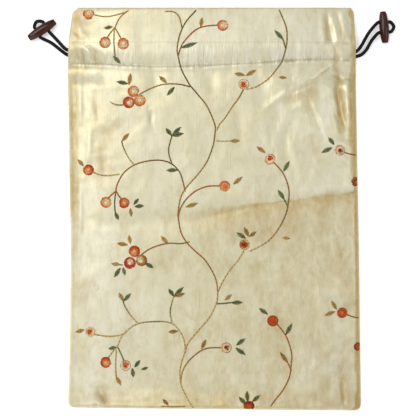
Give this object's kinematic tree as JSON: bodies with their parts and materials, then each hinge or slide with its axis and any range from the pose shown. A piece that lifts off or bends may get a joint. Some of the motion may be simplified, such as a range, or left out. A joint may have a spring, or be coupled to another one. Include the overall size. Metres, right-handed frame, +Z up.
{
  "type": "drawstring travel bag",
  "caption": "Flat drawstring pouch of embroidered silk with a header, a sewn cord casing and a cord with a wooden toggle at each side.",
  "frame": {"origin": "on the ground under the middle of the bag, which lies on its back", "axes": "+X across the bag to its right, +Y along the bag from its closed base to its mouth, +Z up through the back and then the embroidered front"},
  "size_m": [0.3504, 0.3858, 0.0172],
  "materials": {
    "silk": "satin",
    "embroidery_thread": "satin",
    "black_cord": "matte",
    "dark_wood": "gloss"
  },
  "bodies": {
    "bag": {"front_panel": "silk", "back_panel": "silk", "vine_embroidery": "embroidery_thread", "edge_sprig_1": "embroidery_thread", "edge_sprig_2": "embroidery_thread", "edge_sprig_3": "embroidery_thread", "edge_sprig_4": "embroidery_thread", "edge_sprig_5": "embroidery_thread", "edge_sprig_6": "embroidery_thread", "left_drawstring": "black_cord", "right_drawstring": "black_cord"},
    "left_pull": {"left_toggle": "dark_wood"},
    "right_pull": {"right_toggle": "dark_wood"}
  },
  "joints": [
    {"name": "left_drawstring_slide", "type": "slide", "parent": "bag", "child": "left_pull", "axis": [-0.7439, 0.6683, 0], "range_m": [-0.012, 0.04], "deforming": ["left_drawstring"]},
    {"name": "right_drawstring_slide", "type": "slide", "parent": "bag", "child": "right_pull", "axis": [0.7358, 0.6772, 0], "range_m": [-0.012, 0.04], "deforming": ["right_drawstring"]}
  ]
}
